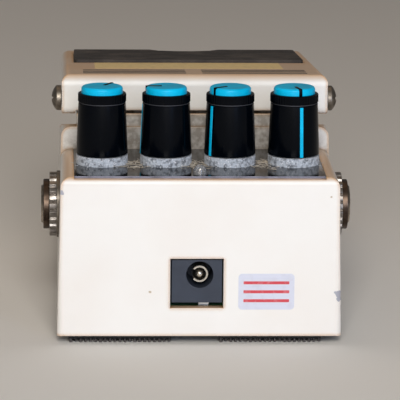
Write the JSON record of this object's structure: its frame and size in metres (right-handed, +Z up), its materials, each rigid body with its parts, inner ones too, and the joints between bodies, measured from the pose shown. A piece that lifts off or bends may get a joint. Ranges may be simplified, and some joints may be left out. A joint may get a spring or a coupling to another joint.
{
  "type": "delay effect pedal",
  "caption": "Compact foot pedal for delaying an audio signal: cast cream housing, sprung foot treadle on a rear hinge, a row of turning knobs, side jacks and a rear power inlet.",
  "frame": {"origin": "middle of the overall box on the table plane, under the hook tape", "axes": "+Z up, +Y to the rear face with the power inlet, +X to the user's right"},
  "size_m": [0.0742, 0.129, 0.0582],
  "materials": {
    "cream_paint": "cast housing in satin cream paint",
    "zinc_steel": "zinc-plated steel",
    "hook_tape": "woven black hook tape",
    "panel_lacquer": "sheet in glossy black lacquer with a bare cut edge",
    "circuit_board": "green solder mask",
    "nylon": "natural nylon",
    "chip_plastic": "dark moulded plastic",
    "lamp_lens": "clear lens over an unlit lamp",
    "nickel_sleeve": "nickel-plated threaded sleeve",
    "dark_nut": "black oxide on steel",
    "rubber": "moulded rubber",
    "felt": "grey speckled ring of felt",
    "knob_black": "black moulded plastic",
    "cap_blue": "bright blue moulded plastic"
  },
  "bodies": {
    "base": {"chassis": "cream_paint", "base_plate": "zinc_steel", "base_screws": "zinc_steel", "pot_washers": "zinc_steel", "pot_nuts": "zinc_steel", "return_spring": "zinc_steel", "input_jack_washer": "zinc_steel", "output_jack_washer": "zinc_steel", "dc_pin": "zinc_steel", "dc_lug": "zinc_steel", "dc_contact": "zinc_steel", "hook_tape_right": "hook_tape", "hook_tape_left": "hook_tape", "panel_plate": "panel_lacquer", "main_board": "circuit_board", "board_spacers": "nylon", "guide_bush": "nylon", "board_chips": "chip_plastic", "foot_switch": "chip_plastic", "dc_socket": "chip_plastic", "input_jack_body": "chip_plastic", "output_jack_body": "chip_plastic", "pot_level": "chip_plastic", "pot_feedback": "chip_plastic", "pot_time": "chip_plastic", "pot_mode": "chip_plastic", "led": "lamp_lens", "input_jack_sleeve": "nickel_sleeve", "output_jack_sleeve": "nickel_sleeve", "input_jack_ring": "dark_nut", "output_jack_ring": "dark_nut", "input_jack_nut": "dark_nut", "output_jack_nut": "dark_nut", "hinge_screws": "dark_nut", "switch_boot": "rubber", "knob_felts": "felt"},
    "treadle": {"treadle": "cream_paint", "rubber_pad": "rubber", "hinge_bushes": "nylon"},
    "thumbscrew": {"thumbscrew": "dark_nut", "retaining_ring": "zinc_steel"},
    "level_knob": {"knob_level": "knob_black", "cap_level": "cap_blue", "pointer_level": "cap_blue", "shaft_level": "zinc_steel"},
    "feedback_knob": {"knob_feedback": "knob_black", "cap_feedback": "cap_blue", "pointer_feedback": "cap_blue", "shaft_feedback": "zinc_steel"},
    "time_knob": {"knob_time": "knob_black", "cap_time": "cap_blue", "pointer_time": "cap_blue", "shaft_time": "zinc_steel"},
    "mode_knob": {"knob_mode": "knob_black", "cap_mode": "cap_blue", "pointer_mode": "cap_blue", "shaft_mode": "zinc_steel"}
  },
  "joints": [
    {"name": "treadle_hinge", "type": "hinge", "parent": "base", "child": "treadle", "pos_m": [0, 0.0215, 0.0508], "axis": [-1, 0, 0], "range_deg": [-2, 65], "stiffness_Nm_per_rad": 2.5, "springref_deg": 1.72, "deforming": ["return_spring", "switch_boot"]},
    {"name": "thumbscrew_turn", "type": "hinge", "parent": "treadle", "child": "thumbscrew", "pos_m": [0, -0.0555, 0.036], "axis": [0, 0, 1], "continuous": true},
    {"name": "level_turn", "type": "hinge", "parent": "base", "child": "level_knob", "pos_m": [-0.02271, 0.0465, 0.0421], "axis": [0, 0, -1], "range_deg": [-135.4, 164.6]},
    {"name": "feedback_turn", "type": "hinge", "parent": "base", "child": "feedback_knob", "pos_m": [-0.00757, 0.0465, 0.0421], "axis": [0, 0, -1], "range_deg": [-203, 97]},
    {"name": "time_turn", "type": "hinge", "parent": "base", "child": "time_knob", "pos_m": [0.00757, 0.0465, 0.0421], "axis": [0, 0, -1], "range_deg": [-238, 62]},
    {"name": "mode_turn", "type": "hinge", "parent": "base", "child": "mode_knob", "pos_m": [0.02271, 0.0465, 0.0421], "axis": [0, 0, -1], "range_deg": [0, 300]}
  ]
}
